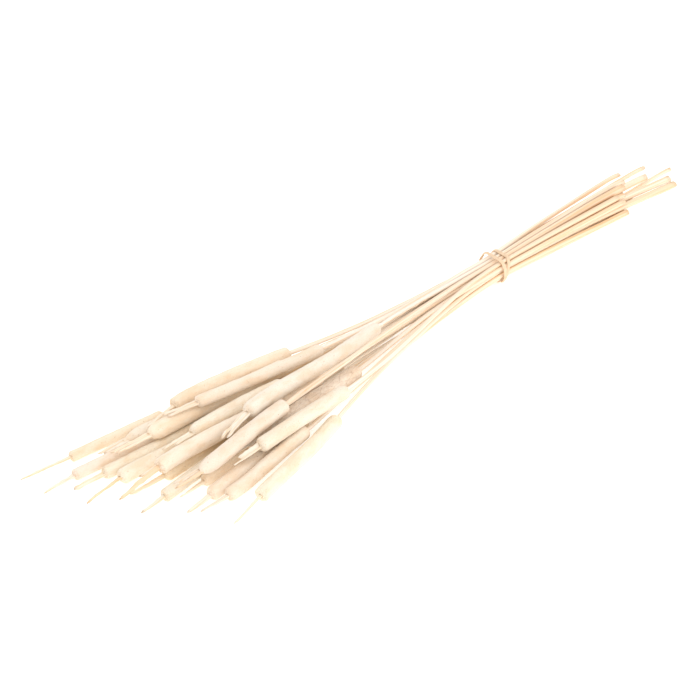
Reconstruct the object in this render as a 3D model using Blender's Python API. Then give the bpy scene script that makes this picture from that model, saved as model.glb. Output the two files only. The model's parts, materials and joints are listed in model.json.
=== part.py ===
"""A tied bunch of bleached cattails lying on its side.

Each stalk is one solid that grew in one piece: a stem, the felted flower head near one end
and the bare tip beyond it. The stalks fan out from a tie, a narrow band wound twice round
the stems, and their heads lie in a heap two or three deep. The heads point along -X, the
cut ends along +X, and Z is up. Run it with: blender --background --python part.py
"""
import math
from dataclasses import dataclass

import bpy
import numpy as np
from mathutils import Matrix

MM = 0.001

# Driving dimensions, in millimetres.
STEM_NECK_RADIUS = 2.1
STEM_TIE_RADIUS = 2.2
TIP_BASE_RADIUS = 1.9
TIP_MIDDLE_RADIUS = 1.5
TIP_END_RADIUS = 0.8
GAP = 0.8

# The rounded ends of a head: distance from the end, and share of the head's radius there.
HEAD_START = ((0, 0.62), (3, 0.9), (9, 1))
HEAD_END = ((7, 1), (2, 0.9), (0, 0.6))

# The bleached straw's tones, and the band's colour.
TONES = {
    "cream": (0.86, 0.76, 0.60),
    "honey": (0.84, 0.67, 0.44),
    "peach": (0.85, 0.69, 0.53),
    "yellow": (0.88, 0.78, 0.52),
    "grey": (0.74, 0.62, 0.49),
}
BAND_COLOUR = (0.80, 0.60, 0.42)
STRAW_ROUGHNESS = 0.75
BAND_ROUGHNESS = 0.5

# The tie: the band is wound twice, so that its two turns cross once, at the lower front. It
# sits a little askew, and lies nearer to the cut ends at the upper front.
TIE_X = 191.0
TIE_Y = 4.5
TIE_STRAND_RADIUS = 1.0
TIE_SPREAD = 7.5
TIE_SKEW = 3.0
TIE_LIFT = 2.2
TIE_CLEARANCE = 0.6
TIE_CROSSING = math.radians(-141)
TIE_FRONT = math.radians(139)
TIE_POINTS = 40

# The second turn is slack where it goes over the upper far side.
TIE_SLACK = 3.5
TIE_SLACK_TURN = math.radians(575)
TIE_SLACK_REACH = math.radians(50)

# How the stems are packed inside the tie, row by row from the table up.
ROWS = (4, 5, 4, 5, 4)
TIE_GAP = 0.2
PITCH = 2 * STEM_TIE_RADIUS + 0.4
FIRST_ROW_HEIGHT = 6.9
TIE_HALF_GRIP = 9.0
TIE_HOLD_LENGTH = 26.0
STRAIGHT_BEFORE_TIE = 0.5

# Behind the tie the stems lean to one side and fan out, per millimetre of length.
LEAN = 0.1
FAN = 0.0015
CUT_FIRST_HEIGHT = 3.8

# The stations along X at which the stalks are eased apart.
STATION = 4.0
EASE_STEPS = 900
SOFT_REACH = 40.0
FINE_REACH = 18.0


@dataclass
class Stalk:
    """One stalk: where its head starts (tip side) and ends (stem side), and its cut end."""
    tone: str
    start: tuple
    end: tuple
    radius: float
    tip: tuple
    cut_x: float
    cut_radius: float = 2.8
    bow: float = 0.0
    cut_yz: tuple = None
    taper: float = 1.0

    def head_radius(self, x):
        """The head's radius at X: it may narrow from the tip side to the stem side."""
        share = np.clip((x - self.start[0]) / (self.end[0] - self.start[0]), 0, 1)
        return self.radius * (1 + (self.taper - 1) * share)


STALKS = (
    # The heads that lie on the table, from the far side to the near side.
    Stalk("honey", (-200, 8, 20), (-65, 8, 19), 7.0, (-37, -11, -1), 453, 2.3, 4.0, (59, 10)),
    Stalk("honey", (-305, 20, 5.4), (-203, 18, 5.4), 5.1, (-50, 3, -1.5), 481, 2.4, 0, (46, 4)),
    Stalk("cream", (-255, 8, 6.6), (-136, 8, 6.6), 6.4, (-27, 0, -3), 404),
    Stalk("peach", (-318, -4, 5.6), (-199, -2, 6.2), 5.3, (-32, -3, -1.5), 391),
    Stalk("cream", (-296, -20, 6.5), (-174, -13, 7.0), 6.2, (-31, 0, -2), 400, 3.0),
    Stalk("cream", (-289, -34, 7.6), (-156, -27, 8.0), 7.1, (-41, -10, -2), 374),
    Stalk("honey", (-257, -57, 7.0), (-148, -42, 7.2), 6.6, (-37, 1, -3), 386, 3.0),
    Stalk("cream", (-274, -80, 6.4), (-167, -56, 7.0), 6.2, (-27, -4, -2), 378, 3.4, 0, (15, 4)),
    Stalk("honey", (-235, -84, 6.5), (-117, -57, 7.0), 6.2, (-27, -3, -2), 396),
    Stalk("peach", (-243, -105, 6.9), (-112, -77, 7.0), 6.6, (-27, -3, -3), 378, 3.0),
    Stalk("peach", (-233, -116, 8), (-124, -88, 11), 6.4, (-29, 0, -2), 452, 3.5, 0, (18, 13)),
    Stalk("yellow", (-210, -133, 7.6), (-86, -84, 8.0), 7.2, (-39, -13, -4), 456, 3.7, 0, (15.7, 8)),
    # The heads of the second layer.
    Stalk("honey", (-244, -15, 19), (-82, -4, 18), 7.7, (-38, 1, -2), 388, 3.0),
    Stalk("cream", (-213, -37, 19), (-104, -33, 19), 7.2, (-33, -4, 1), 371),
    Stalk("peach", (-266, -60, 22), (-69, -40, 22), 7.7, (-42, -2, -9), 380, 3.0),
    Stalk("grey", (-170, -78, 20), (-29, -46, 13), 7.2, (-33, -6, 1), 373, 3.0),
    Stalk("peach", (-122, -13, 8), (-14, -5, 9), 6.6, (-27, -2, -1), 435, 3.8, 0, (38, 14)),
    Stalk("cream", (-182, -96, 25), (-68, -78, 25), 7.0, (-27, -2, -1), 366, 3.0),
    # The heads on top of the heap.
    Stalk("peach", (-191, -15, 29.5), (-45, -13, 27), 5.7, (-33, 4, -3), 417, 2.4, 0, (61, 14)),
    Stalk("peach", (-243, -89, 22), (-135, -73, 35), 7.0, (-22, 2, -4), 382, 3.7, 0, (17.6, 26)),
    Stalk("cream", (-170, -63, 38), (18, -21, 30), 8.1, (-37, -15, -3), 393, 3.2, -2.5, (31.3, 25), 0.78),
    Stalk("peach", (-140, -44, 7), (-30, -26, 7), 5.6, (-25, 0, -1), 368),
)


def spline(knots, values, stations):
    """A natural cubic spline, the shape a springy stalk takes when it is held at the knots."""
    knots = np.array(knots, float)
    values = np.array(values, float)
    spans = np.diff(knots)
    count = len(knots)
    matrix = np.eye(count)
    right = np.zeros(count)
    for k in range(1, count - 1):
        matrix[k, k - 1:k + 2] = spans[k - 1], 2 * (spans[k - 1] + spans[k]), spans[k]
        right[k] = 6 * ((values[k + 1] - values[k]) / spans[k] - (values[k] - values[k - 1]) / spans[k - 1])
    bend = np.linalg.solve(matrix, right)
    cell = np.clip(np.searchsorted(knots, stations) - 1, 0, count - 2)
    span = spans[cell]
    before = stations - knots[cell]
    after = knots[cell + 1] - stations
    curve = (bend[cell] * after**3 + bend[cell + 1] * before**3) / (6 * span)
    curve += (values[cell] / span - bend[cell] * span / 6) * after
    return curve + (values[cell + 1] / span - bend[cell + 1] * span / 6) * before


def places_in_tie(stalks):
    """Each stalk's place inside the tie: low heads in the low rows, and sorted sideways."""
    middle = [((s.start[1] + s.end[1]) / 2, (s.start[2] + s.end[2]) / 2) for s in stalks]
    by_height = sorted(range(len(stalks)), key=lambda k: (middle[k][1], middle[k][0]))
    places = {}
    taken = 0
    for row, count in enumerate(ROWS):
        members = sorted(by_height[taken:taken + count], key=lambda k: middle[k][0])
        for column, k in enumerate(members):
            side = TIE_Y + (column - (count - 1) / 2) * PITCH
            places[k] = (side, FIRST_ROW_HEIGHT + row * PITCH * math.sqrt(3) / 2)
        taken += count
    return places


def cut_place(stalk, side, height):
    """Where a cut end lies: the order of the stems stays as it is in the tie."""
    run = stalk.cut_x - TIE_X
    spread = 1 + FAN * run
    return (TIE_Y + LEAN * run + (side - TIE_Y) * spread,
            CUT_FIRST_HEIGHT + (height - FIRST_ROW_HEIGHT) * spread)


def smoothed(field, reach):
    """Spread a push along the stalks, so that each bends as a springy rod does."""
    half = int(3 * reach / STATION)
    weights = np.exp(-0.5 * (np.arange(-half, half + 1) * STATION / reach) ** 2)
    weights /= weights.sum()
    padded = np.pad(field, ((0, 0), (half, half)), mode="edge")
    return sum(w * padded[:, k:k + field.shape[1]] for k, w in enumerate(weights))


class Bunch:
    """The stalks as curves y(x) and z(x) with a radius, on one row of stations along X."""

    def __init__(self, stalks):
        self.stalks = stalks
        self.first = [s.start[0] + s.tip[0] for s in stalks]
        self.x = np.arange(min(self.first) - STATION, max(s.cut_x for s in stalks) + STATION, STATION)
        shape = (len(stalks), len(self.x))
        self.y = np.zeros(shape)
        self.z = np.zeros(shape)
        self.radius = np.zeros(shape)
        for k, place in places_in_tie(stalks).items():
            self.lay(k, stalks[k], place)

    def lay(self, k, stalk, place):
        side, height = place
        cut_side, cut_height = stalk.cut_yz or cut_place(stalk, side, height)
        lean_after = (cut_side - side) / (stalk.cut_x - TIE_X)
        middle = (stalk.start[0] + stalk.end[0]) / 2
        knots = [self.first[k], stalk.start[0], middle, stalk.end[0]]
        knots += [TIE_X - TIE_HALF_GRIP, TIE_X + TIE_HALF_GRIP, stalk.cut_x]
        straight = (side - stalk.end[1]) / (TIE_X - stalk.end[0])
        lean = STRAIGHT_BEFORE_TIE * straight + (1 - STRAIGHT_BEFORE_TIE) * lean_after
        grip_sides = [side - TIE_HALF_GRIP * lean, side + TIE_HALF_GRIP * lean_after]
        centre_y = (stalk.start[1] + stalk.end[1]) / 2 + stalk.bow
        centre_z = (stalk.start[2] + stalk.end[2]) / 2
        tip_y = stalk.start[1] + stalk.tip[1]
        tip_z = stalk.start[2] + stalk.tip[2]
        sides = [tip_y, stalk.start[1], centre_y, stalk.end[1]] + grip_sides + [cut_side]
        heights = [tip_z, stalk.start[2], centre_z, stalk.end[2], height, height, cut_height]
        self.y[k] = spline(knots, sides, self.x)
        self.z[k] = spline(knots, heights, self.x)
        inside = (self.x > self.first[k] - STATION) & (self.x < stalk.cut_x + STATION)
        self.radius[k] = np.where(inside, self.envelope(stalk), 0)

    def envelope(self, stalk):
        """The radius to keep clear: tip, head and stem."""
        tip = np.interp(self.x, [stalk.start[0] + stalk.tip[0], stalk.start[0]], [TIP_END_RADIUS, TIP_BASE_RADIUS])
        stem = self.stem_radius(stalk, self.x)
        head = (self.x > stalk.start[0] - STATION) & (self.x < stalk.end[0] + STATION)
        return np.where(head, stalk.head_radius(self.x), np.where(self.x < stalk.start[0], tip, stem))

    @staticmethod
    def stem_radius(stalk, x):
        knots = [stalk.end[0], TIE_X - 40, TIE_X + 12, stalk.cut_x]
        return np.interp(x, knots, [STEM_NECK_RADIUS, STEM_TIE_RADIUS, STEM_TIE_RADIUS, stalk.cut_radius])

    def ease(self):
        """Push overlapping stalks apart, the way a settling bunch does, and keep all on the table."""
        one, two = np.triu_indices(len(self.stalks), 1)
        present = self.radius > 0
        both = present[one] & present[two]
        loose = 1 - np.exp(-((self.x - TIE_X) / TIE_HOLD_LENGTH) ** 2)
        need = self.radius[one] + self.radius[two] + TIE_GAP + (GAP - TIE_GAP) * loose
        for step in range(EASE_STEPS):
            cosine = 1 / np.sqrt(1 + np.gradient(self.y, STATION, axis=1) ** 2)
            apart_y = (self.y[two] - self.y[one]) * (cosine[one] + cosine[two]) / 2
            apart_z = self.z[two] - self.z[one]
            distance = np.hypot(apart_y, apart_z) + 1e-6
            push = np.where(both, np.maximum(0, need - distance), 0) / distance / 2
            move_y = np.zeros_like(self.y)
            move_z = np.zeros_like(self.z)
            for rows, sign in ((two, 1), (one, -1)):
                np.add.at(move_y, rows, sign * push * apart_y)
                np.add.at(move_z, rows, sign * push * apart_z)
            move_z += np.where(present, np.maximum(0, self.radius - self.z), 0)
            reach = SOFT_REACH if step < EASE_STEPS / 2 else FINE_REACH
            self.y += 1.3 * loose * smoothed(move_y * loose, reach)
            self.z += 1.3 * loose * smoothed(move_z * loose, reach)

    def at(self, k, x):
        return float(np.interp(x, self.x, self.y[k])), float(np.interp(x, self.x, self.z[k]))


def profile(stalk):
    """Stations along one stalk from tip to cut end: pairs of X and radius."""
    start, end = stalk.start[0], stalk.end[0]
    rings = [(start + stalk.tip[0], TIP_END_RADIUS), (start + stalk.tip[0] * 0.5, TIP_MIDDLE_RADIUS)]
    rings += [(start - 0.5, TIP_BASE_RADIUS)]
    stops = [start + run for run, _ in HEAD_START] + list(np.linspace(start, end, 5)[1:-1])
    stops += [end - run for run, _ in HEAD_END]
    shares = [share for _, share in HEAD_START] + [1, 1, 1] + [share for _, share in HEAD_END]
    rings += [(x, float(stalk.head_radius(x)) * share) for x, share in zip(stops, shares)]
    stops = [end + 0.5] + list(np.linspace(end + 16, TIE_X - 12, 7)) + [TIE_X, TIE_X + 12]
    stops += list(np.linspace(TIE_X + 60, stalk.cut_x, 4))
    return rings + [(x, float(Bunch.stem_radius(stalk, x))) for x in stops]


def material(name, colour, roughness):
    made = bpy.data.materials.new(name)
    made.use_nodes = True
    shader = made.node_tree.nodes["Principled BSDF"]
    shader.inputs["Base Color"].default_value = (*colour, 1)
    shader.inputs["Roughness"].default_value = roughness
    shader.inputs["Metallic"].default_value = 0
    return made


def tube(name, points, collection, look, sides_level, cyclic=False):
    """A curve object through points of (x, y, z, radius), in millimetres."""
    largest = max(point[3] for point in points)
    curve = bpy.data.curves.new(name, "CURVE")
    curve.dimensions = "3D"
    curve.bevel_depth = largest * MM
    curve.bevel_resolution = sides_level
    curve.use_fill_caps = not cyclic
    curve.render_resolution_u = 0
    line = curve.splines.new("POLY")
    line.points.add(len(points) - 1)
    line.use_cyclic_u = cyclic
    for slot, (x, y, z, radius) in zip(line.points, points):
        slot.co = (x * MM, y * MM, z * MM, 1)
        slot.radius = radius / largest
    curve.materials.append(look)
    body = bpy.data.objects.new(name, curve)
    collection.objects.link(body)
    return body


def make_stalk(name, bunch, k, collection, look):
    points = []
    for x, radius in profile(bunch.stalks[k]):
        y, z = bunch.at(k, x)
        points.append((x, y, z, radius))
    return tube(name, points, collection, look, 2)


def outline(bunch, x, direction):
    """The edge of the bundle at X: the furthest point along a direction, as a taut band finds it."""
    y, z = direction
    reach = []
    for k in range(len(bunch.stalks)):
        side, height = bunch.at(k, x)
        reach.append((side * y + height * z, side, height))
    _, side, height = max(reach)
    off = STEM_TIE_RADIUS + TIE_CLEARANCE + TIE_STRAND_RADIUS
    return side + y * off, height + z * off


def make_tie(bunch, collection, look):
    """The band, wound twice: the turns lie apart on the far side and cross at the lower front."""
    points = []
    for k in range(TIE_POINTS):
        turn = 4 * math.pi * k / TIE_POINTS
        angle = turn + TIE_CROSSING
        direction = (math.cos(angle), math.sin(angle))
        x = TIE_X + TIE_SPREAD * math.sin(turn / 2) + TIE_SKEW * math.cos(angle - TIE_FRONT)
        y, z = outline(bunch, x, direction)
        lift = TIE_LIFT * max(0, math.cos(turn / 2)) ** 2
        lift += TIE_SLACK * math.exp(-((turn - TIE_SLACK_TURN) / TIE_SLACK_REACH) ** 2)
        points.append((x, y + lift * direction[0], z + lift * direction[1], TIE_STRAND_RADIUS))
    return tube("tie", points, collection, look, 2, cyclic=True)


def centre_on_table(bodies):
    """Move the bunch so that the middle of its box's underside is the origin."""
    evaluated = bpy.context.evaluated_depsgraph_get()
    corners = []
    for body in bodies:
        shape = body.evaluated_get(evaluated)
        corners += [np.array(vertex.co) for vertex in shape.to_mesh().vertices]
        shape.to_mesh_clear()
    low, high = np.min(corners, axis=0), np.max(corners, axis=0)
    move = Matrix.Translation((-(low[0] + high[0]) / 2, -(low[1] + high[1]) / 2, -low[2]))
    for body in bodies:
        body.data.transform(move)


def main():
    for old in list(bpy.data.objects):
        bpy.data.objects.remove(old, do_unlink=True)
    collection = bpy.data.collections.new("cattail_bunch")
    bpy.context.scene.collection.children.link(collection)
    bunch = Bunch(STALKS)
    bunch.ease()
    straws = {tone: material(f"straw_{tone}", colour, STRAW_ROUGHNESS) for tone, colour in TONES.items()}
    band = material("band", BAND_COLOUR, BAND_ROUGHNESS)
    bodies = []
    for k, stalk in enumerate(STALKS):
        bodies.append(make_stalk(f"stalk_{k + 1:02d}", bunch, k, collection, straws[stalk.tone]))
    bodies.append(make_tie(bunch, collection, band))
    centre_on_table(bodies)


main()
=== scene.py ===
# %% [markdown]
# # A tied bunch of bleached cattails
# Some twenty cattail stalks lie on a white table, held by a narrow band. Each has a felted
# flower head near one end, the bare tip of the stalk beyond it, and a long straw-like stem.
# The packed solids already say where every stalk lies and how thick it is. This lesson reads
# their centrelines and dresses each one with a detailed mesh and a procedural finish.

# %% Load the frame
import json
import math

import bpy
import numpy as np
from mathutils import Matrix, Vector


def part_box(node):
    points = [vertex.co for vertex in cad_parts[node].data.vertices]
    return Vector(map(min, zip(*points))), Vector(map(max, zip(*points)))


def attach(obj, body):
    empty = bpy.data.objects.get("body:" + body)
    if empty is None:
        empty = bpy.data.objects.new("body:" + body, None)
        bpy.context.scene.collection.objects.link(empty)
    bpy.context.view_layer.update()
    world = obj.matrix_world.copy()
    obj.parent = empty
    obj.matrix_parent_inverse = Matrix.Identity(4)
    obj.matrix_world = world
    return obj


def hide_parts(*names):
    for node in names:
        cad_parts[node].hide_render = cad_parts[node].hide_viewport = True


MM = 0.001

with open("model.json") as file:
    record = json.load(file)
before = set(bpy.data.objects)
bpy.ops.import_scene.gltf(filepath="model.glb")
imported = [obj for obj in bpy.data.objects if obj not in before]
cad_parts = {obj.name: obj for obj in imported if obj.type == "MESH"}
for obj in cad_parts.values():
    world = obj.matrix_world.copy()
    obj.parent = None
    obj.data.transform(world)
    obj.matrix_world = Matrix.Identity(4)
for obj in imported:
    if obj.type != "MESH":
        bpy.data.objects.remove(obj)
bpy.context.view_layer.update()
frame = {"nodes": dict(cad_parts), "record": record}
stalk_names = sorted(name for name in frame["nodes"] if name.startswith("stalk_"))

# %% [markdown]
# ## Camera
# The picture was taken from the side of the heads, looking about a third of the way down, from
# far enough away that the bunch hardly narrows with distance. A long lens 2.2 m away gives the
# same view. The camera is aimed with a tracking quaternion, which turns "look that way" into a
# rotation without any constraint or driver.

# %% Place the camera
CAMERA_PITCH = math.radians(34)
CAMERA_TURN = math.radians(-39.52)
CAMERA_DISTANCE = 2.2
CAMERA_LENS = 119.1
CAMERA_AIM = Vector((-63.13, 41.74, 0)) * MM

forward = Vector((-math.sin(CAMERA_TURN), math.cos(CAMERA_TURN), 0)) * math.cos(CAMERA_PITCH)
forward.z = -math.sin(CAMERA_PITCH)
camera = bpy.data.objects.new("camera", bpy.data.cameras.new("camera"))
camera.data.lens = CAMERA_LENS
camera.location = CAMERA_AIM - forward * CAMERA_DISTANCE
camera.rotation_euler = forward.to_track_quat("-Z", "Y").to_euler()
bpy.context.scene.collection.objects.link(camera)
bpy.context.scene.camera = camera
print("camera at", [round(v, 3) for v in camera.location])

# %% [markdown]
# ## Table and sky
# The picture is high-key: the table is blown out to white, and the straw itself only shows warm
# tones where it turns away from the light. A bright even sky does most of that. The table glows
# a little by itself, which is painted light: it keeps the table evenly white, lifts the shadows
# under the bunch and lights the undersides of the heads from below.

# %% Set up the table and the sky
TABLE_HALF = 4
TABLE_LOOK = {
    "Base Color": (0.97, 0.965, 0.955, 1),
    "Roughness": 0.8,
    "Specular IOR Level": 0.1,
    # painted light: the table glows by itself and lights the bunch from below
    "Emission Color": (1, 0.99, 0.97, 1),
    "Emission Strength": 0.45,
}
SKY_LOOK = {"Color": (1.0, 0.995, 0.985, 1), "Strength": 1.0}

table_corners = [(x * TABLE_HALF, y * TABLE_HALF, 0) for x, y in ((-1, -1), (1, -1), (1, 1), (-1, 1))]
table = bpy.data.meshes.new("table")
table.from_pydata(table_corners, [], [(0, 1, 2, 3)])
table_top = bpy.data.objects.new("table", table)
bpy.context.scene.collection.objects.link(table_top)

white = bpy.data.materials.new("glowing_white_table")
white.use_nodes = True
for socket, value in TABLE_LOOK.items():
    white.node_tree.nodes["Principled BSDF"].inputs[socket].default_value = value
table.materials.append(white)

sky = bpy.data.worlds.new("sky")
sky.use_nodes = True
for socket, value in SKY_LOOK.items():
    sky.node_tree.nodes["Background"].inputs[socket].default_value = value
bpy.context.scene.world = sky
bpy.context.scene.view_settings.view_transform = "Standard"
print("a table", 2 * TABLE_HALF, "m wide under a sky of strength", SKY_LOOK["Strength"])

# %% [markdown]
# ## Lamps
# One large soft lamp hangs above, a little toward the viewer, and gives each head its direction
# of light. A second one, low on the viewer's right, fills the sides that it leaves dark. Each is
# a square that faces the bunch.

# %% Hang the lamps
LAMPS = {
    "key": dict(place=(-1.0, -0.9, 2.4), size=1.5, power=16, colour=(1.0, 0.98, 0.95)),
    "fill": dict(place=(1.2, -2.0, 1.2), size=1.8, power=12, colour=(1.0, 0.97, 0.93)),
}

for lamp_name, lamp in LAMPS.items():
    light = bpy.data.lights.new(lamp_name, "AREA")
    light.size = lamp["size"]
    light.energy = lamp["power"]
    light.color = lamp["colour"]
    holder = bpy.data.objects.new(lamp_name, light)
    holder.location = lamp["place"]
    holder.rotation_euler = (-Vector(lamp["place"])).to_track_quat("-Z", "Y").to_euler()
    bpy.context.scene.collection.objects.link(holder)
print("lamps:", ", ".join(LAMPS))

# %% [markdown]
# ## Reading a stalk from its solid
# Each solid is a chain of eight-sided rings. Cutting it with evenly spaced planes across X gives
# a closed loop on each plane: the middle of the loop is a point of the centreline, and its area
# gives the radius. Reading the solids, instead of repeating their design, keeps every dressed
# piece exactly where its solid is, whatever is changed there.

# %% Cut a solid into sections
SECTION_STEP = 2 * MM
END_TRIM = 0.5 * MM
OCTAGON_AREA = 2 * math.sqrt(2)


def sections(node):
    """Stations along X with the centre and radius of the solid on each."""
    mesh = node.data
    points = np.empty(len(mesh.vertices) * 3)
    mesh.vertices.foreach_get("co", points)
    points = points.reshape(-1, 3)
    edges = np.empty(len(mesh.edges) * 2, int)
    mesh.edges.foreach_get("vertices", edges)
    one, two = points[edges.reshape(-1, 2)].transpose(1, 0, 2)
    low, high = points[:, 0].min(), points[:, 0].max()
    stations = np.linspace(low + END_TRIM, high - END_TRIM, int((high - low) / SECTION_STEP))
    rows = []
    for x in stations:
        crossed = (one[:, 0] - x) * (two[:, 0] - x) < 0
        start, run = one[crossed], two[crossed] - one[crossed]
        loop = start + run * ((x - start[:, :1]) / run[:, :1])
        centre = (loop.min(axis=0) + loop.max(axis=0)) / 2
        around = (loop - centre)[:, 1:]
        y, z = around[np.argsort(np.arctan2(*around.T))].T
        area = abs(np.sum(y * np.roll(z, -1) - z * np.roll(y, -1))) / 2
        rows.append((x, centre[1], centre[2], math.sqrt(area / OCTAGON_AREA)))
    return np.array(rows)


read = {name: sections(frame["nodes"][name]) for name in stalk_names}
print("sections:", sum(len(rows) for rows in read.values()))

# %% [markdown]
# ## A springy centreline
# The sections follow the solid's straight chords. A stalk bends evenly, so the centreline is
# smoothed with a bell-shaped average. The padding continues each end in a straight line, because
# plain padding would drag the ends inwards. The head is where the stalk is thick, and ends a
# little past the last thick section. A plane across X cuts a leaning stalk askew, so the radius
# is corrected for the lean.

# %% Smooth the centrelines
SMOOTH_REACH = 12 * MM
BELL_WIDTHS = 3
HEAD_SHARE = 0.75
HEAD_MARGIN = 1.5 * MM
TANGENT_STEP = 2 * MM


def smoothed(values, reach):
    """A bell-shaped running average of evenly spaced rows, ends continued straight."""
    half = int(BELL_WIDTHS * reach)
    weights = np.exp(-0.5 * (np.arange(-half, half + 1) / reach) ** 2)
    weights /= weights.sum()
    steps = np.arange(half, 0, -1)[:, None]
    before = values[0] - steps * (values[1] - values[0])
    after = values[-1] + steps[::-1] * (values[-1] - values[-2])
    padded = np.vstack([before, values, after])
    return np.stack([np.convolve(padded[:, k], weights, "valid") for k in range(values.shape[1])], 1)


def unit(vectors):
    return vectors / np.linalg.norm(vectors, axis=1)[:, None]


class Line:
    """A stalk's centreline: the place, directions and radius at a distance from its tip."""

    def __init__(self, rows):
        self.points = smoothed(rows[:, :3], SMOOTH_REACH / SECTION_STEP)
        steps = np.linalg.norm(np.diff(self.points, axis=0), axis=1)
        self.along = np.concatenate([[0], np.cumsum(steps)])
        lean = np.gradient(self.points[:, 1], self.points[:, 0])
        self.radius = rows[:, 3] / (1 + lean**2) ** 0.25
        self.length = self.along[-1]
        thick = self.along[self.radius > HEAD_SHARE * self.radius.max()]
        self.head = (thick[0] - HEAD_MARGIN, thick[-1] + HEAD_MARGIN)

    def place(self, along):
        """Points, tangents, sideways and upward directions at these distances."""
        along = np.asarray(along, float)
        beyond = np.maximum(0, along - self.length) + np.minimum(0, along)
        inside = along - beyond
        tangents = unit(self.point_at(inside + TANGENT_STEP) - self.point_at(inside - TANGENT_STEP))
        sides = unit(np.cross((0, 0, 1), tangents))
        points = self.point_at(inside) + tangents * beyond[:, None]
        return points, tangents, sides, np.cross(tangents, sides)

    def point_at(self, along):
        return np.stack([np.interp(along, self.along, self.points[:, k]) for k in range(3)], 1)

    def radius_at(self, along):
        return np.interp(along, self.along, self.radius)


lines = {name: Line(rows) for name, rows in read.items()}
for name in stalk_names[:3]:
    head_start, head_end = lines[name].head
    print(name, "is", round(lines[name].length, 3), "m long, its head", round(head_end - head_start, 3))

# %% [markdown]
# ## Lofting
# Every part of a stalk is a tube whose cross-section changes on the way. A loft does that: rings
# of points are placed along the line and joined by quads. A mesh written this way keeps two
# things that a bevelled curve loses: the free cross-section, and a "grain" coordinate, which is
# the point's place in the straightened stalk. The finishes use the grain, so that fibres follow
# every bend of the stalk, without a seam.

# %% Write the loft
def ring_angles(count):
    return np.arange(count) * 2 * math.pi / count


def loft(line, along, offsets, lean=None):
    """Corners and grain of rings placed at distances along a line.

    offsets has each ring's points as sideways and upward distances from the line, and lean,
    where it is given, moves each point along the line as well."""
    points, tangents, sides, ups = line.place(along)
    across, upward = offsets[..., :1], offsets[..., 1:]
    corners = points[:, None] + sides[:, None] * across + ups[:, None] * upward
    shift = np.zeros(offsets.shape[:2]) if lean is None else lean
    corners += tangents[:, None] * shift[..., None]
    grain = np.concatenate([(np.asarray(along)[:, None] + shift)[..., None], offsets], axis=2)
    return corners, grain


def quads(rings, count, first, closed):
    """Faces between rings of count points; a closed chain joins its last ring to its first."""
    faces = []
    for row in range(rings if closed else rings - 1):
        here = first + row * count
        there = first + (row + 1) % rings * count
        for k in range(count):
            after = (k + 1) % count
            faces.append((here + k, here + after, there + after, there + k))
    return faces


print("three rings of eight points take", len(quads(3, 8, 0, False)), "quads")

# %% [markdown]
# ## Bumps and bells
# Nothing that grew is even. A sum of cosine waves with random directions gives soft bumps of any
# size, the same ones in each run, because each place that uses them has its own seed. A bell
# keeps an effect, such as a brown rim, near one place.

# %% Make bumps and bells
WAVES = 14
WAVE_RATE = 2.2


def lumps(points, size, seed):
    """Smooth random bumps about this size, mostly between -1 and 1, at these points."""
    draw = np.random.default_rng(seed)
    ways = draw.normal(size=(WAVES, 3)) * (WAVE_RATE / np.asarray(size))
    phases = draw.uniform(0, 2 * math.pi, WAVES)
    return np.cos(points @ ways.T + phases).sum(axis=-1) / math.sqrt(WAVES)


def bell(distance, reach):
    """1 at no distance, and almost nothing beyond twice the reach."""
    return np.exp(-(distance / reach) ** 2)


def along_only(along):
    """Points for lumps that change along a line only."""
    return along[:, None] * np.ones(3)


bumps = lumps(along_only(np.linspace(0, 100 * MM, 500)), 10 * MM, seed=1)
print("bumps go from", round(float(bumps.min()), 2), "to", round(float(bumps.max()), 2))

# %% [markdown]
# ## One mesh from many lofts
# A head with its tip is several lofts, but one object. A shell collects them, with what the
# finishes need at each point: the grain, how worn it is, and a tint. The "tone" is the stalk's
# colour times that tint, and carries the painted light and shade set for each stalk; "aged" is
# one value for the whole shell.

# %% Write the shell
PLAIN = (1.0, 1.0, 1.0)
CREASE = math.radians(50)
ATTRIBUTES = {
    "grain": ("FLOAT_VECTOR", "vector"),
    "worn": ("FLOAT", "value"),
    "aged": ("FLOAT", "value"),
    "tone": ("FLOAT_COLOR", "color"),
}


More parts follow.
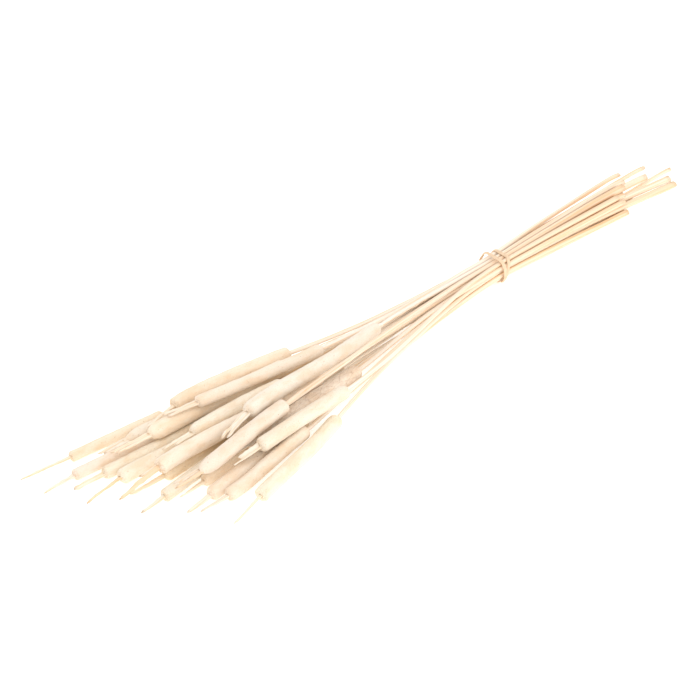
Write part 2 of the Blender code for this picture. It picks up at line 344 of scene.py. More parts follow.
class Shell:
    """Collects lofted parts, and makes one mesh object with its attributes from them."""

    def __init__(self, name):
        self.name = name
        self.corners, self.grain, self.worn, self.tints = [], [], [], []
        self.faces, self.slots = [], []

    def add(self, corners, grain, worn, slot=0, tint=PLAIN, closed=False):
        """A tube from rings, with a cap at each end unless the ends meet.

        worn is a mask from 0 to 1, such as a brown rim, and tint multiplies the stalk's tone.
        Each is one value, or one for each ring. slot chooses the finish."""
        first = len(self.corners)
        rings, count = corners.shape[:2]
        self.corners += corners.reshape(-1, 3).tolist()
        self.grain += grain.reshape(-1, 3).tolist()
        self.worn += np.broadcast_to(worn, (rings, count)).reshape(-1).tolist()
        self.tints += np.broadcast_to(tint, (rings, count, 3)).reshape(-1, 3).tolist()
        made = quads(rings, count, first, closed)
        if not closed:
            made.append(tuple(range(first + count - 1, first - 1, -1)))
            made.append(tuple(range(first + (rings - 1) * count, first + rings * count)))
        self.faces += made
        self.slots += [slot] * len(made)

    def finish(self, finishes, tone, shift, aged=0.0):
        """The object. shift moves its grain, so that no two have the same pattern."""
        mesh = bpy.data.meshes.new(self.name)
        mesh.from_pydata(self.corners, [], self.faces)
        colours = np.ones((len(self.corners), 4))
        colours[:, :3] = np.array(self.tints) * tone
        values = {
            "grain": np.array(self.grain) + shift,
            "worn": np.array(self.worn),
            "aged": np.full(len(self.corners), float(aged)),
            "tone": colours,
        }
        for name, (kind, field) in ATTRIBUTES.items():
            attribute = mesh.attributes.new(name, kind, "POINT")
            attribute.data.foreach_set(field, values[name].reshape(-1))
        for finish in finishes:
            mesh.materials.append(finish)
        mesh.polygons.foreach_set("material_index", self.slots)
        mesh.shade_smooth()
        mesh.set_sharp_from_angle(angle=CREASE)
        body = bpy.data.objects.new(self.name, mesh)
        bpy.context.scene.collection.objects.link(body)
        return body


print("each mesh carries", ", ".join(ATTRIBUTES))

# %% [markdown]
# ## Writing finishes as sums
# Node trees are easier to read as sums. A Value stands for the wire that leaves a node, and its
# operators add Math nodes, so that 1 - mask works.

# %% Write the wire
class Value:
    """A wire between nodes; a sum with it adds a Math node."""

    def __init__(self, finish, socket):
        self.finish = finish
        self.socket = socket

    def maths(self, operation, one, two):
        return self.finish.node("ShaderNodeMath", {"operation": operation}, {0: one, 1: two})

    def __sub__(self, other):
        return self.maths("SUBTRACT", self, other)

    def __rsub__(self, other):
        return self.maths("SUBTRACT", other, self)

    def __mul__(self, other):
        return self.maths("MULTIPLY", self, other)

    __rmul__ = __mul__


print("a wire knows", ", ".join(name for name in vars(Value) if name.endswith(("sub__", "mul__"))))

# %% [markdown]
# ## A finish
# A finish is a material that grows by one call at a time. Every node comes from one method that
# sets its options first and then its sockets, with a wire or a constant. The other methods name
# the patterns that the straw and the felt are made of.

# %% Write the finish
class Finish:
    """A material whose nodes are added one call at a time."""

    def __init__(self, name, **constants):
        self.material = bpy.data.materials.new(name)
        self.material.use_nodes = True
        self.tree = self.material.node_tree
        self.shader = self.tree.nodes["Principled BSDF"]
        self.wear(**constants)

    def node(self, kind, settings, values, output=0):
        made = self.tree.nodes.new(kind)
        for name, value in settings.items():
            setattr(made, name, value)
        for name, value in values.items():
            self.put(value, made.inputs[name])
        return Value(self, made.outputs[output])

    def put(self, value, socket):
        if isinstance(value, Value):
            self.tree.links.new(value.socket, socket)
        else:
            socket.default_value = value

    def wear(self, **sockets):
        """Give the shader's sockets, such as Base_Color, a value or a wire."""
        for name, value in sockets.items():
            self.put(value, self.shader.inputs[name.replace("_", " ")])

    def attribute(self, name, output="Fac"):
        return self.node("ShaderNodeAttribute", {"attribute_name": name}, {}, output)

    def stretched(self, along, across):
        """The grain coordinate, counted in cells this long and this wide."""
        scale = (1 / along, 1 / across, 1 / across)
        grain = self.attribute("grain", "Vector")
        return self.node("ShaderNodeVectorMath", {"operation": "MULTIPLY"}, {0: grain, 1: scale})

    def noise(self, along, across, detail=2.0, rough=0.5):
        values = {"Scale": 1.0, "Detail": detail, "Roughness": rough}
        values["Vector"] = self.stretched(along, across)
        return self.node("ShaderNodeTexNoise", {}, values)

    def cells(self, along, across, feature="F1"):
        """Distances in a cell pattern, from the middles or from the edges."""
        values = {"Scale": 1.0, "Vector": self.stretched(along, across)}
        return self.node("ShaderNodeTexVoronoi", {"feature": feature}, values)

    def between(self, value, low, high):
        """0 below low, 1 above high, and smooth between them."""
        values = {"Value": value, "From Min": low, "From Max": high}
        return self.node("ShaderNodeMapRange", {"interpolation_type": "SMOOTHSTEP"}, values)

    def patches(self, low, high, **noise):
        """A mask of patches: where the noise is above low, and in full above high."""
        return self.between(self.noise(**noise), low, high)

    def stain(self, colour, other, mask, amount, mode="MULTIPLY"):
        """The colour, multiplied by or mixed with another one where the mask is."""
        settings = {"data_type": "RGBA", "blend_type": mode, "clamp_factor": True}
        factor, one, two, result = 0, 6, 7, 2
        values = {factor: mask * amount, one: colour, two: other}
        return self.node("ShaderNodeMix", settings, values, result)

    def bump(self, height, distance, strength, under=None):
        values = {"Height": height, "Distance": distance, "Strength": strength}
        if under:
            values["Normal"] = under
        return self.node("ShaderNodeBump", {}, values)


print("a finish can", ", ".join(name for name in vars(Finish) if not name.startswith("_")))

# %% [markdown]
# ## Felt
# A cattail's head is thousands of dry stigmas packed side by side, so it looks like dense felt:
# quite matt, a little velvety at the edge, with soft blotches, faint lengthwise brush marks and
# a few brown flecks that the bleach left. Noise in the grain coordinate makes all of them, at
# four sizes. The rims, where the felt breaks off around the stalk, are browner. One head has
# gone grey and crazed, like old paper: the "aged" mask brings in its mottle and its cracks.

# %% Make the felt
BROWN = (0.36, 0.20, 0.09, 1)
TAN = (0.93, 0.80, 0.66, 1)
PALE = (1.03, 1.04, 1.06, 1)
ASHEN = (0.86, 0.80, 0.77, 1)


def make_felt():
    felt = Finish("bleached_felt", Roughness=0.92, Specular_IOR_Level=0.15,
                  Sheen_Weight=0.25, Sheen_Roughness=0.5)
    blotches = felt.patches(along=22 * MM, across=9 * MM, detail=3, low=0.42, high=0.68)
    brushed = felt.patches(along=30 * MM, across=1.1 * MM, detail=4, rough=0.6, low=0.35, high=0.75)
    speckle = felt.noise(along=0.9 * MM, across=0.6 * MM)
    flecks = felt.patches(along=2.2 * MM, across=1.3 * MM, detail=1, low=0.72, high=0.77)
    mottle = felt.patches(along=5 * MM, across=3 * MM, detail=4, rough=0.65, low=0.42, high=0.58)
    edges = felt.cells(along=15 * MM, across=4.5 * MM, feature="DISTANCE_TO_EDGE")
    cracks = felt.attribute("aged") * (1 - felt.between(edges, low=0.0, high=0.07))
    broken = felt.patches(along=1.6 * MM, across=0.9 * MM, detail=3, low=0.4, high=0.62)

    colour = felt.attribute("tone", "Color")
    colour = felt.stain(colour, TAN, blotches, amount=0.55)
    colour = felt.stain(colour, PALE, brushed, amount=0.4)
    colour = felt.stain(colour, TAN, felt.between(speckle, low=0.45, high=0.75), amount=0.6)
    colour = felt.stain(colour, BROWN, flecks, amount=0.55, mode="MIX")
    colour = felt.stain(colour, ASHEN, felt.attribute("aged") * mottle, amount=0.6)
    colour = felt.stain(colour, BROWN, cracks, amount=0.28, mode="MIX")
    colour = felt.stain(colour, BROWN, felt.attribute("worn") * broken, amount=0.34, mode="MIX")

    pile = felt.noise(along=2.8 * MM, across=1.6 * MM, detail=3)
    fine = felt.bump(speckle - 0.6 * cracks, distance=0.25 * MM, strength=0.5)
    felt.wear(Base_Color=colour, Normal=felt.bump(pile, distance=0.35 * MM, strength=0.45, under=fine))
    return felt.material


felt_finish = make_felt()
print("made", felt_finish.name, "of", len(felt_finish.node_tree.nodes), "nodes")

# %% [markdown]
# ## Straw
# The stems and the bare tips are smooth, hard and slightly shiny, with fine lengthwise fibres.
# Very long, very narrow noise cells give the fibres, and a second, broader set gives the honey
# and tan stripes that show where the outer skin is thicker. Old brown spots are rare.

# %% Make the straw
HONEY = (0.93, 0.76, 0.56, 1)
IVORY = (1.05, 1.05, 1.04, 1)


def make_straw():
    straw = Finish("bleached_straw", Roughness=0.5, Specular_IOR_Level=0.35)
    stripes = straw.patches(along=170 * MM, across=1.5 * MM, low=0.46, high=0.66)
    fibres = straw.noise(along=60 * MM, across=0.32 * MM, detail=3, rough=0.6)
    flecks = straw.patches(along=9 * MM, across=0.9 * MM, detail=1, low=0.74, high=0.79)
    uneven = straw.patches(along=3 * MM, across=1 * MM, low=0.3, high=0.55)

    colour = straw.attribute("tone", "Color")
    colour = straw.stain(colour, HONEY, stripes, amount=0.8)
    colour = straw.stain(colour, IVORY, straw.between(fibres, low=0.38, high=0.66), amount=0.5)
    colour = straw.stain(colour, BROWN, flecks, amount=0.5, mode="MIX")
    colour = straw.stain(colour, BROWN, straw.attribute("worn") * uneven, amount=0.75, mode="MIX")
    straw.wear(Base_Color=colour, Normal=straw.bump(fibres, distance=0.12 * MM, strength=0.6))
    return straw.material


straw_finish = make_straw()
print("made", straw_finish.name, "of", len(straw_finish.node_tree.nodes), "nodes")

# %% [markdown]
# ## Pith
# A cut stem shows its inside: a spongy white pith, full of small air channels, in a thin hard
# rind. A cell pattern makes the channels as darker spots, painted shade of holes that the face
# doesn't have, and the worn mask darkens the rind.

# %% Make the pith
PITH_WHITE = (0.98, 0.93, 0.85, 1)
CHANNEL_SHADE = (0.66, 0.52, 0.38, 1)
RIND = (0.60, 0.43, 0.25, 1)
EVERYWHERE = 1


def make_pith():
    pith = Finish("pith", Roughness=0.9, Specular_IOR_Level=0.2)
    sponge = pith.cells(along=2 * MM, across=0.55 * MM)
    channel_shade = 1 - pith.between(sponge, low=0.12, high=0.42)
    colour = pith.attribute("tone", "Color")
    colour = pith.stain(colour, PITH_WHITE, EVERYWHERE, amount=0.6, mode="MIX")
    # painted shade: darker spots where the air channels would open as holes
    colour = pith.stain(colour, CHANNEL_SHADE, channel_shade, amount=0.5)
    colour = pith.stain(colour, RIND, pith.attribute("worn"), amount=0.6, mode="MIX")
    pith.wear(Base_Color=colour, Normal=pith.bump(sponge, distance=0.3 * MM, strength=0.7))
    return pith.material


pith_finish = make_pith()
print("made", pith_finish.name, "of", len(pith_finish.node_tree.nodes), "nodes")

# %% [markdown]
# ## Band rubber
# The band is plain natural rubber, tan and a little shiny, with the faint lengthwise lines of
# the knife that cut it from a tube, and some dust from the felt.

# %% Make the rubber
DUST = (0.82, 0.74, 0.64, 1)


def make_rubber():
    rubber = Finish("band_rubber", Roughness=0.5, Specular_IOR_Level=0.4)
    knife_lines = rubber.noise(along=40 * MM, across=0.25 * MM)
    dust = rubber.patches(along=3 * MM, across=1.2 * MM, detail=3, low=0.4, high=0.7)
    colour = rubber.stain(rubber.attribute("tone", "Color"), DUST, dust, amount=0.5)
    rubber.wear(Base_Color=colour, Normal=rubber.bump(knife_lines, distance=0.08 * MM, strength=0.5))
    return rubber.material


rubber_finish = make_rubber()
print("made", rubber_finish.name, "of", len(rubber_finish.node_tree.nodes), "nodes")

# %% [markdown]
# ## Tips
# Beyond the head the stalk is bare: it carried the pollen, and has dried to a thin stick. Most
# are flat and wind a little, some have split into two strips that lie side by side, and the
# ends are frayed, blunt or scorched brown. Each strip is a loft with a flat section, and starts
# inside the head. The table says how a usual strip looks: its length and width as shares of the
# solid's, its thickness as a share of its width, how much it widens and winds toward its end,
# how far it lies aside at its start and end in millimetres, and how brown its end is.

# %% Shape a tip
USUAL_STRIP = dict(long=1.0, wide=1.4, flat=0.65, splay=0.3, wind=0.8, aside=(0, 0), brown=0.5, tint=PLAIN)
TIP_SIDES = 14
TIP_RINGS = 36
TIP_INSIDE = 4 * MM
TIP_CLEAR_OF_HEAD = 3.5 * MM
UNEVENNESS = 0.10
UNEVEN_LENGTH = 8 * MM
BLUNT_FROM = 0.97
BLUNT_SHARE = 0.6
TIP_GROOVE = 0.35
TIP_GROOVE_SPREAD = 0.2
TIP_TURN = 0.4
SIDE_WANDER, SIDE_WANDER_LENGTH, SIDE_SEED = 0.5 * MM, 15 * MM, 7
UP_WANDER, UP_WANDER_LENGTH, UP_SEED = 0.3 * MM, 14 * MM, 9
FRAY, FRAY_SIZE, FRAY_SEED = 0.8 * MM, 1.2 * MM, 40
SCORCH = 2.2 * MM
STRAW_SLOT = 1


def turned(offsets, twist):
    """Rings turned about the line, each by its own angle."""
    cosine, sine = np.cos(twist)[:, None], np.sin(twist)[:, None]
    across, upward = offsets[..., 0], offsets[..., 1]
    return np.stack([across * cosine - upward * sine, across * sine + upward * cosine], 2)


def add_strip(shell, line, strip, seed):
    """A flat strip from inside the head outwards."""
    draw = np.random.default_rng(seed)
    start = line.head[0] + TIP_INSIDE
    reach = start * (1 - strip["long"])
    along = np.linspace(start, reach, TIP_RINGS)
    share = (start - along) / (start - reach)
    run = along_only(along)
    size = line.radius_at(np.minimum(along, line.head[0] - TIP_CLEAR_OF_HEAD)) * strip["wide"]
    size = size + strip["splay"] * MM * share**3
    size = size * (1 + UNEVENNESS * lumps(run, UNEVEN_LENGTH, seed))
    size = np.where(share > BLUNT_FROM, size * BLUNT_SHARE, size)[:, None]
    angles = ring_angles(TIP_SIDES)
    groove = 1 - TIP_GROOVE * np.exp(-(angles - math.pi / 2) ** 2 / TIP_GROOVE_SPREAD)
    flat = np.stack([np.cos(angles) * size, np.sin(angles) * size * strip["flat"] * groove], 2)
    twist = draw.uniform(-TIP_TURN, TIP_TURN) + draw.uniform(-1, 1) * share * strip["wind"]
    offsets = turned(flat, twist)
    first, last = strip["aside"]
    aside = (first + (last - first) * share**1.5) * MM
    sideways = SIDE_WANDER * share * lumps(run, SIDE_WANDER_LENGTH, seed + SIDE_SEED)
    upward = UP_WANDER * share * lumps(run, UP_WANDER_LENGTH, seed + UP_SEED)
    offsets[..., 0] += (aside + sideways)[:, None]
    offsets[..., 1] += upward[:, None]
    frayed = np.zeros(offsets.shape[:2])
    frayed[-2:] = FRAY * lumps(offsets[-2:] @ np.eye(2, 3), FRAY_SIZE, seed + FRAY_SEED)
    corners, grain = loft(line, along, offsets, frayed)
    brown = strip["brown"] * bell(along - reach, SCORCH)
    shell.add(corners[::-1], grain[::-1], brown[::-1][:, None], STRAW_SLOT, strip["tint"])


print("a usual tip strip is", TIP_SIDES, "x", TIP_RINGS, "points")

# %% [markdown]
# ## Heads
# A head's ends are rounded like a thumb, drawn out like a cone or nearly flat, and turn in to a
# dimple where the stalk comes out. Its section isn't quite round, because the heads were pressed
# together when they dried, and its surface has soft dents of three sizes. Denser rings at the
# ends keep the rounding smooth, and a ragged end has deeper notches.

# %% Shape a head
HEAD_SIDES = 44
HEAD_RING = 1.2 * MM
END_RINGS = 12
END_CROWDING = 1.6
SHOULDER = 12 * MM
STATIONS = 9
STEM_CURVE = 2.3
NECK_AT_TIP, NECK_AT_STEM = 0.33, 0.36
DIMPLE, DIMPLE_SHARE = 1.2 * MM, 0.6
OVAL = 0.03
DENTS = (
    dict(depth=0.13 * MM, size=(24 * MM, 7 * MM, 7 * MM), seed=0),
    dict(depth=0.09 * MM, size=(6 * MM, 3 * MM, 3 * MM), seed=50),
    dict(depth=0.05 * MM, size=1.6 * MM, seed=90),
)
NOTCH_SIZE, NOTCH_SEED = 2.2 * MM, 120
TIP_NOTCHES, STEM_NOTCHES = 1 * MM, 1.5 * MM
TIP_RIM, STEM_RIM, STEM_RIM_SHARE = 2.2 * MM, 1.8 * MM, 0.5
STRIP_SEED, NEXT_STRIP = 300, 40


def end_rounding(away, width, power):
    """The share of the full radius at a distance from a head's end."""
    share = np.clip(away / width, 0, 1)
    return (1 - (1 - share) ** power) ** (1 / power)


def head_profile(line, looks):
    """Distances along the line and the radius at each, from dimple to dimple."""
    start, end = line.head
    stations = np.linspace(start + SHOULDER, end - SHOULDER, STATIONS)
    radius = line.radius_at(stations)
    near_width, far_width = looks["tip_round"] * radius[0], looks["stem_round"] * radius[-1]
    crowded = np.linspace(0, 1, END_RINGS)[1:] ** END_CROWDING
    near = start + crowded * near_width
    far = end - crowded[::-1] * far_width
    middle = np.linspace(near[-1], far[0], int((far[0] - near[-1]) / HEAD_RING))[1:-1]
    along = np.concatenate([near, middle, far])
    size = np.interp(along, stations, radius) * end_rounding(along - start, near_width, looks["tip_curve"])
    size = size * end_rounding(end - along, far_width, STEM_CURVE)
    tip_neck, stem_neck = NECK_AT_TIP * radius[0], NECK_AT_STEM * radius[-1]
    size = np.maximum(size, np.where(along < (start + end) / 2, tip_neck, stem_neck))
    along = np.concatenate([[start + DIMPLE, start], along, [end, end - DIMPLE]])
    tip_ends, stem_ends = [DIMPLE_SHARE * tip_neck, tip_neck], [stem_neck, DIMPLE_SHARE * stem_neck]
    return along, np.concatenate([tip_ends, size, stem_ends]), radius.mean()


def make_head(name, line, looks, seed):
    start, end = line.head
    along, size, mean_radius = head_profile(line, looks)
    angles = ring_angles(HEAD_SIDES)
    around = np.stack([np.cos(angles), np.sin(angles)], 1)
    places = np.broadcast_to(along[:, None, None], (len(along), HEAD_SIDES, 1))
    spots = np.concatenate([places, size[:, None, None] * around], axis=2)
    oval = 1 + OVAL * np.cos(2 * (angles - seed))[None, :]
    dents = sum(dent["depth"] * lumps(spots, dent["size"], seed + dent["seed"]) for dent in DENTS)
    offsets = (size[:, None] * oval * (1 + dents / mean_radius))[..., None] * around
    ragged = looks["ragged"] * MM
    notches = ragged * lumps(spots, NOTCH_SIZE, seed + NOTCH_SEED)
    at_ends = bell(along - start, TIP_NOTCHES + 2 * ragged) + bell(end - along, STEM_NOTCHES)
    corners, grain = loft(line, along, offsets, notches * at_ends[:, None])
    rim = bell(along - start, TIP_RIM) + STEM_RIM_SHARE * bell(end - along, STEM_RIM)
    head = Shell(name)
    head.add(corners, grain, np.clip(rim, 0, 1)[:, None] * looks["rim"])
    for number, strip in enumerate(looks["strips"]):
        add_strip(head, line, {**USUAL_STRIP, **strip}, STRIP_SEED + seed + NEXT_STRIP * number)
    return head


print("heads have", HEAD_SIDES, "sides and", len(DENTS), "sizes of dents")

# %% [markdown]
# ## Stems
# A stem is a long loft with shallow flutes, one deeper groove and a slight oval, which twist a
# little on the way. It is peachier toward the cut. Its cut end isn't square, and the pith sinks
# in behind the rind.

# %% Shape a stem
STEM_SIDES = 24
STEM_RING = 3 * MM
STEM_INSIDE = 8 * MM
NECK = 4 * MM
PAST_END = 0.5 * MM
LAST_RING = 2 * MM
WAVINESS, WAVE_LENGTH = 0.03, 40 * MM
TWIST_RATE = 2
FIRST_TURN = 6
SLANT = 0.35
SLANT_SHARES = np.array([[0.3], [0.8], [1.0]])
DRY, DRY_LENGTH = 0.5, 5 * MM
PEACH = (0.99, 0.915, 0.825)
BLUSH_LENGTH = 260 * MM
TINT_REACH = 200 * MM
FLUTES = (dict(depth=0.018, count=7, shift=1), dict(depth=0.014, count=11, shift=2))
GROOVE, GROOVE_SPREAD = 0.10, 0.05
STEM_OVAL = 0.05


def stem_section(angles, size, twist, seed):
    """Fluted rings: sideways and upward offsets for each radius."""
    around = angles[None, :] + twist[:, None]
    fluted = sum(row["depth"] * np.cos(row["count"] * around + row["shift"] * seed) for row in FLUTES)
    groove = -GROOVE * np.exp(-(np.mod(around - seed, 2 * math.pi) - math.pi) ** 2 / GROOVE_SPREAD)
    radii = size[:, None] * (1 + fluted + groove + STEM_OVAL * np.cos(2 * around))
    return np.stack([radii * np.cos(angles), radii * np.sin(angles)], axis=2)


def mixed(share, one, two):
    """A colour for each ring, from one colour to another."""
    share = share[:, None, None]
    return (1 - share) * np.array(one) + share * np.array(two)


def add_stem(shell, line, near_tint, far_tint, seed):
    draw = np.random.default_rng(seed)
    start, end = line.head[1] - STEM_INSIDE, line.length + PAST_END
    along = np.linspace(start, end - LAST_RING, int((end - start) / STEM_RING))
    along = np.concatenate([along, [end]])
    neck = line.head[1] + NECK
    size = line.radius_at(np.maximum(along, neck))
    size = size * (1 + WAVINESS * lumps(along_only(along), WAVE_LENGTH, seed))
    twist = draw.uniform(-TWIST_RATE, TWIST_RATE) * along + draw.uniform(0, FIRST_TURN)
    offsets = stem_section(ring_angles(STEM_SIDES), size, twist, seed)
    slant = draw.uniform(-SLANT, SLANT, 2)
    tilt = np.zeros(offsets.shape[:2])
    tilt[-3:] = SLANT_SHARES * (offsets[-3:] @ slant)
    corners, grain = loft(line, along, offsets, tilt)
    dry = DRY * bell(along - line.length, DRY_LENGTH)
    blush = mixed(np.clip(1 - ((line.length - along) / BLUSH_LENGTH) ** 2, 0, 1), PLAIN, PEACH)
    tint = mixed(np.clip((along - neck) / TINT_REACH, 0, 1), near_tint, far_tint)
    shell.add(corners, grain, dry[:, None], tint=blush * tint)
    add_cut_end(shell, line, offsets[-1:], end, slant)


print("stems have", STEM_SIDES, "sides and", sum(row["count"] for row in FLUTES), "flutes")

# %% [markdown]
# ## Cut ends and slivers
# The cut face is a few rings inside the last one: the rind is level with the cut, and the pith
# behind it is sunk. Three heads have slivers at the neck, thin strands of skin that have come
# loose and lie close to the stem.

# %% Shape the cut end and the slivers
PITH_SLOT = 1
FACE_GAP = 0.05 * MM
FACE_SIZES = np.array([0.97, 0.86, 0.80, 0.4, 0.05])
FACE_DEPTHS = np.array([0.02, 0.04, -0.45, -0.6, -0.55]) * MM
FACE_RIND = np.array([1.0, 0.8, 0.2, 0, 0])
TANNED = (0.96, 0.84, 0.70)
SLIVER_SIDES = 8
SLIVER_RINGS = 60
SLIVER_LENGTH = 95 * MM
SLIVER_START = 2 * MM
SLIVER_BOW, BOW_CHANGE, BOW_LENGTH = 0.9 * MM, 0.5, 20 * MM
SLIVER_SWAY, SWAY_LENGTH = 0.25, 30 * MM
SLIVER_RADIUS, SLIVER_FLAT = 0.6 * MM, 0.6
SLIVER_SINK = 0.35
TAPER_START, TAPER_RUN = 0.1, 0.85


def add_cut_end(shell, line, ring, end, slant):
    """The cut face: smaller copies of the stem's last ring, sunk toward the middle."""
    rings = np.repeat(ring, len(FACE_SIZES), axis=0) * FACE_SIZES[:, None, None]
    depth = rings @ slant + FACE_DEPTHS[:, None]
    corners, grain = loft(line, np.full(len(FACE_SIZES), end + FACE_GAP), rings, depth)
    shell.add(corners, grain, FACE_RIND[:, None], PITH_SLOT, PEACH)


def add_sliver(shell, line, angle, seed):
    """A thin strand of skin along the neck, on this side of the stem."""
    neck = line.head[1]
    along = np.linspace(neck - SLIVER_START, neck + SLIVER_LENGTH, SLIVER_RINGS)
    share = np.linspace(0, 1, SLIVER_RINGS)
    run = along_only(along)
    away = line.radius_at(np.maximum(along, neck + NECK)) * (1 - SLIVER_SINK * share**4)
    bowed = SLIVER_BOW * np.sin(math.pi * share)
    away = away + bowed * (1 + BOW_CHANGE * lumps(run, BOW_LENGTH, seed))
    way = angle + SLIVER_SWAY * lumps(run, SWAY_LENGTH, seed + 1)
    size = SLIVER_RADIUS * np.sin(math.pi * (TAPER_START + TAPER_RUN * share))
    angles = ring_angles(SLIVER_SIDES)
    offsets = np.stack([np.cos(angles) * size[:, None], np.sin(angles) * size[:, None] * SLIVER_FLAT], 2)
    offsets = offsets + np.stack([away * np.cos(way), away * np.sin(way)], 1)[:, None]
    corners, grain = loft(line, along, offsets)
    shell.add(corners, grain, 0.0, tint=TANNED)


print("a cut face has", len(FACE_SIZES), "rings, a sliver is", round(SLIVER_LENGTH / MM), "mm long")

# %% [markdown]
# ## What is special about each stalk
# The usual look comes first, and a second table changes it for some stalks. "light" and "fade"
# set the tone: fade goes from the colour of the stalk's slot to the bleached tone of them all, and
# light scales the result. The slot colours are partly painted shade, the warm tint each head shows
# where it lies in shade, and the fade takes some of it out. A light above 1 is painted light on
# heads that lie in shade, such as stalk_07 under stalk_15; below 1 a head is made darker.
# "aged" brings in grey mottle and cracks, "rim" is how brown the felt's rims are, and "ragged"
# is the depth of their notches in millimetres. "tip_round" and "stem_round" are the lengths of
# the rounded ends in head radii, and a lower "tip_curve" makes the tip end more of a cone. The
# strips are the tip's, the stem's tints are those near the head and beyond it, and the slivers
# are angles round the stem.

# %% Tell the stalks apart
STRIPED = (0.975, 0.90, 0.81)
WHEAT = (0.94, 0.86, 0.775)
SPLIT_ASIDE = np.array((1.6, 1.8))


def split(wide, short):
    """A tip that has split into two strips, one of them shorter."""
    return [dict(wide=wide, aside=SPLIT_ASIDE), dict(wide=wide, long=short, aside=-SPLIT_ASIDE)]


USUAL_LOOK = dict(
    light=1.0, fade=0.5, aged=0.0, rim=1.0, ragged=0.35, tip_round=0.8, tip_curve=2.3, stem_round=0.7,
    strips=[{}], stem_tints=(PLAIN, PLAIN), slivers=())
# light above 1 is painted light on heads in shade; stalk_07 lies under stalk_15
LOOKS = {
    "stalk_01": dict(tip_round=0.5, strips=[dict(wide=1.2, brown=0.3)]),
    "stalk_02": dict(tip_round=0.45, stem_round=0.9, strips=[dict(wide=1.0, flat=0.7, wind=0.3)]),
    "stalk_03": dict(rim=0.1, tip_round=3.2, tip_curve=1.6, strips=split(1.2, 0.84)),
    "stalk_04": dict(tip_round=0.5, strips=[dict(wide=1.2, wind=2.0)]),
    "stalk_05": dict(aged=0.3, ragged=0.7, tip_round=0.6, strips=[dict(wide=1.5, splay=1.4)]),
    "stalk_06": dict(tip_round=0.7, strips=[dict(wide=1.4, splay=0.8, wind=2.5, tint=TANNED)]),
    "stalk_07": dict(light=1.1),
    "stalk_08": dict(light=0.95, tip_round=0.4, strips=[dict(wide=1.2, brown=1.5)]),
    "stalk_09": dict(light=1.07),
    "stalk_10": dict(stem_tints=(PLAIN, STRIPED)),
    "stalk_11": dict(light=0.97),
    "stalk_12": dict(light=0.945, fade=0.75, rim=0.6, tip_round=0.35, stem_round=0.9,
                     strips=[dict(wide=0.95, flat=0.8, brown=0.2)], stem_tints=(PLAIN, WHEAT)),
    "stalk_13": dict(tip_round=1.7, tip_curve=2.0, strips=split(1.1, 0.9), slivers=(1.0,)),
    "stalk_14": dict(aged=0.3, tip_round=1.5, strips=split(1.0, 0.7)),
    "stalk_15": dict(ragged=0.8, tip_round=0.6,
                     strips=[dict(long=1.05, wide=1.5, aside=(0, -3.5), brown=1.2, tint=TANNED),
                             dict(long=0.45, wide=0.9, aside=(2.4, 4.6), brown=0.7)]),
    "stalk_16": dict(light=1.05, aged=1.0, stem_round=0.9, stem_tints=(PLAIN, STRIPED)),
    "stalk_18": dict(light=0.93, tip_round=0.8, stem_tints=(PLAIN, WHEAT),
                     strips=[dict(long=0.85, wide=1.7, flat=0.45, aside=(1.0, 1.4), brown=0.3),
                             dict(long=1.25, wide=0.75, aside=(-1.6, -3.6), brown=1.4)]),
    "stalk_19": dict(tip_round=0.7, strips=split(1.1, 0.92)),
    "stalk_20": dict(light=0.92, tip_round=2.1, tip_curve=1.8, stem_round=0.45,
                     strips=[dict(wide=1.2, aside=(2.2, 2.8), brown=0.2),
                             dict(long=1.1, wide=1.0, aside=(-1.5, -2.4), brown=0.8, tint=TANNED)],
                     stem_tints=(STRIPED, STRIPED), slivers=(0.6, 2.2)),
    "stalk_21": dict(light=0.955, tip_round=1.1, strips=split(1.2, 0.92), slivers=(2.8,)),
}
looks_of = {name: {**USUAL_LOOK, **LOOKS.get(name, {})} for name in stalk_names}
print("stalks with the usual look:", [name for name in stalk_names if name not in LOOKS])

# %% [markdown]
# ## Dressing every stalk
# Each stalk becomes two objects: its head with the tip, and its stem with the cut end. Its tone
# is also shifted a little at random, so that no two are alike, and a shift in the grain gives
# each its own blotches and fibres.

# %% Dress the stalks
BLEACHED_HEAD = np.array((0.94, 0.86, 0.755))
BLEACHED_STRAW = np.array((0.975, 0.895, 0.82))
TONE_SEED, TONE_SPREAD = 1000, 0.03
GRAIN_SHIFT = np.array((1.7, 0.31, 0))
slot_of = {part["node"]: part["material_slot"] for part in frame["record"]["subparts"]}
colour_of = {item["slot"]: item["base_color"][:3] for item in frame["record"]["materials"]}


def head_tone(name, number):
    """The stalk's tone, between its slot's colour and the bleached one, with its painted light and shade.
    """
    draw = np.random.default_rng(TONE_SEED + number)
    lightness, warmth = draw.uniform(-TONE_SPREAD, TONE_SPREAD), draw.uniform(-TONE_SPREAD, TONE_SPREAD)
    fade, light = looks_of[name]["fade"], looks_of[name]["light"]
    tone = np.array(colour_of[slot_of[name]]) * (1 - fade) + BLEACHED_HEAD * fade
    # light above 1 is painted light on heads that lie in shade
    return tone * np.array((1 + lightness, 1 + lightness, 1 + lightness - warmth)) * light


for number, name in enumerate(stalk_names, 1):
    looks = looks_of[name]
    tone = head_tone(name, number)
    shift = number * GRAIN_SHIFT
    head = make_head(f"head_{number:02d}", lines[name], looks, number)
    stem = Shell(f"stem_{number:02d}")
    add_stem(stem, lines[name], *looks["stem_tints"], number)
    for angle in looks["slivers"]:
        add_sliver(stem, lines[name], angle, number)
    for body in (head.finish([felt_finish, straw_finish], tone, shift, looks["aged"]),
                 stem.finish([straw_finish, pith_finish], (tone + BLEACHED_STRAW) / 2, shift)):
        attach(body, "root")
        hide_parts(name)
print("dressed", len(stalk_names), "stalks")

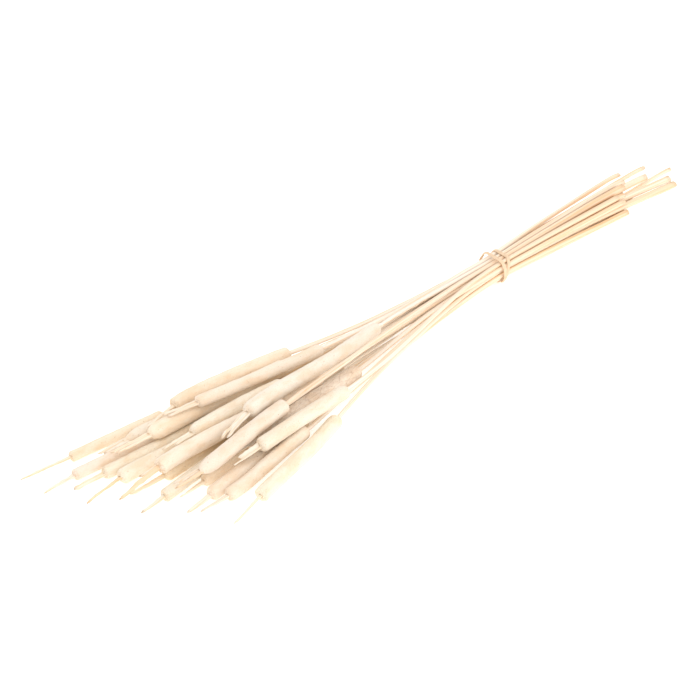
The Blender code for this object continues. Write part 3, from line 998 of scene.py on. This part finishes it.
# %% [markdown]
# ## The band's path
# The band is taut, so at each place it takes the shortest way round the stems. That is the edge
# of the bundle as seen from every direction: the furthest stem that way, plus the stem's and
# the band's own thickness. Two turns lie a few millimetres apart and cross once at the lower
# front, and one is slack where it goes over the upper far side.

# %% Find the band's path
TIE_POINTS = 160
BAND_HALF_WIDTH = 2.0 * MM
BAND_HALF_THICK = 0.95 * MM
BAND_REST = 0.9 * BAND_HALF_THICK
BAND_EASINGS = 3
TURNS = 2
TIE_CROSSING = math.radians(-141)
TIE_FRONT = math.radians(139)
TIE_SPREAD = 7.5 * MM
TIE_SKEW = 3 * MM
TIE_SLACK = 3.5 * MM
TIE_SLACK_TURN = math.radians(575)
TIE_SLACK_REACH = math.radians(50)
CROSSING_SHARPNESS = 6

tie_low, tie_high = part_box("tie")
tie_x = (tie_low.x + tie_high.x) / 2


def bundle_edge(x, direction, off):
    """The point at X that lies off the furthest stem in a direction across the bundle."""
    best = None
    for line in lines.values():
        centre = [np.interp(x, line.points[:, 0], line.points[:, k]) for k in (1, 2)]
        radius = np.interp(x, line.points[:, 0], line.radius)
        reach = centre[0] * direction[0] + centre[1] * direction[1] + radius
        if best is None or reach > best[0]:
            best = (reach, centre, radius)
    return np.array(best[1]) + np.array(direction) * (best[2] + off)


def band_path():
    """Points of the band's middle, and the way out of the bundle at each."""
    path, outward = [], []
    for k in range(TIE_POINTS):
        turn = 2 * math.pi * TURNS * k / TIE_POINTS
        angle = turn + TIE_CROSSING
        direction = (math.cos(angle), math.sin(angle))
        x = tie_x + TIE_SPREAD * math.sin(turn / TURNS) + TIE_SKEW * math.cos(angle - TIE_FRONT)
        lift = 2 * BAND_HALF_THICK * max(0, math.cos(turn / TURNS)) ** CROSSING_SHARPNESS
        lift += TIE_SLACK * bell(turn - TIE_SLACK_TURN, TIE_SLACK_REACH)
        path.append((x, *bundle_edge(x, direction, BAND_REST + lift)))
        outward.append((0, *direction))
    path = np.array(path)
    for _ in range(BAND_EASINGS):
        path = path / 2 + (np.roll(path, 1, axis=0) + np.roll(path, -1, axis=0)) / 4
    return path, np.array(outward)


path, outward = band_path()
print("the band's path is", round(float(np.linalg.norm(np.diff(path, axis=0), axis=1).sum()), 3), "m long")

# %% [markdown]
# ## The band
# The band's section is a flat oval that lies on the stems. Its wide way is square to both the
# path and the way out of the bundle.

# %% Wind the band
BAND_SIDES = 14


def make_band():
    ahead = unit(np.roll(path, -1, axis=0) - np.roll(path, 1, axis=0))
    wide = unit(np.cross(ahead, outward))
    thick = np.cross(wide, ahead)
    angles = ring_angles(BAND_SIDES)
    across, upward = np.cos(angles) * BAND_HALF_WIDTH, np.sin(angles) * BAND_HALF_THICK
    ways = wide[:, None] * across[None, :, None] + thick[:, None] * upward[None, :, None]
    run = np.concatenate([[0], np.cumsum(np.linalg.norm(np.diff(path, axis=0), axis=1))])
    grain = np.stack(np.broadcast_arrays(run[:, None], across, upward), 2)
    shell = Shell("band")
    shell.add(path[:, None] + ways, grain, 0.0, closed=True)
    return shell.finish([rubber_finish], np.array(colour_of["band"]), np.zeros(3))


band = make_band()
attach(band, "root")
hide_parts("tie")
print("band of", len(band.data.polygons), "faces")

# %% [markdown]
# ## Closing the lesson
# The dressed bunch mustn't outgrow its solids.
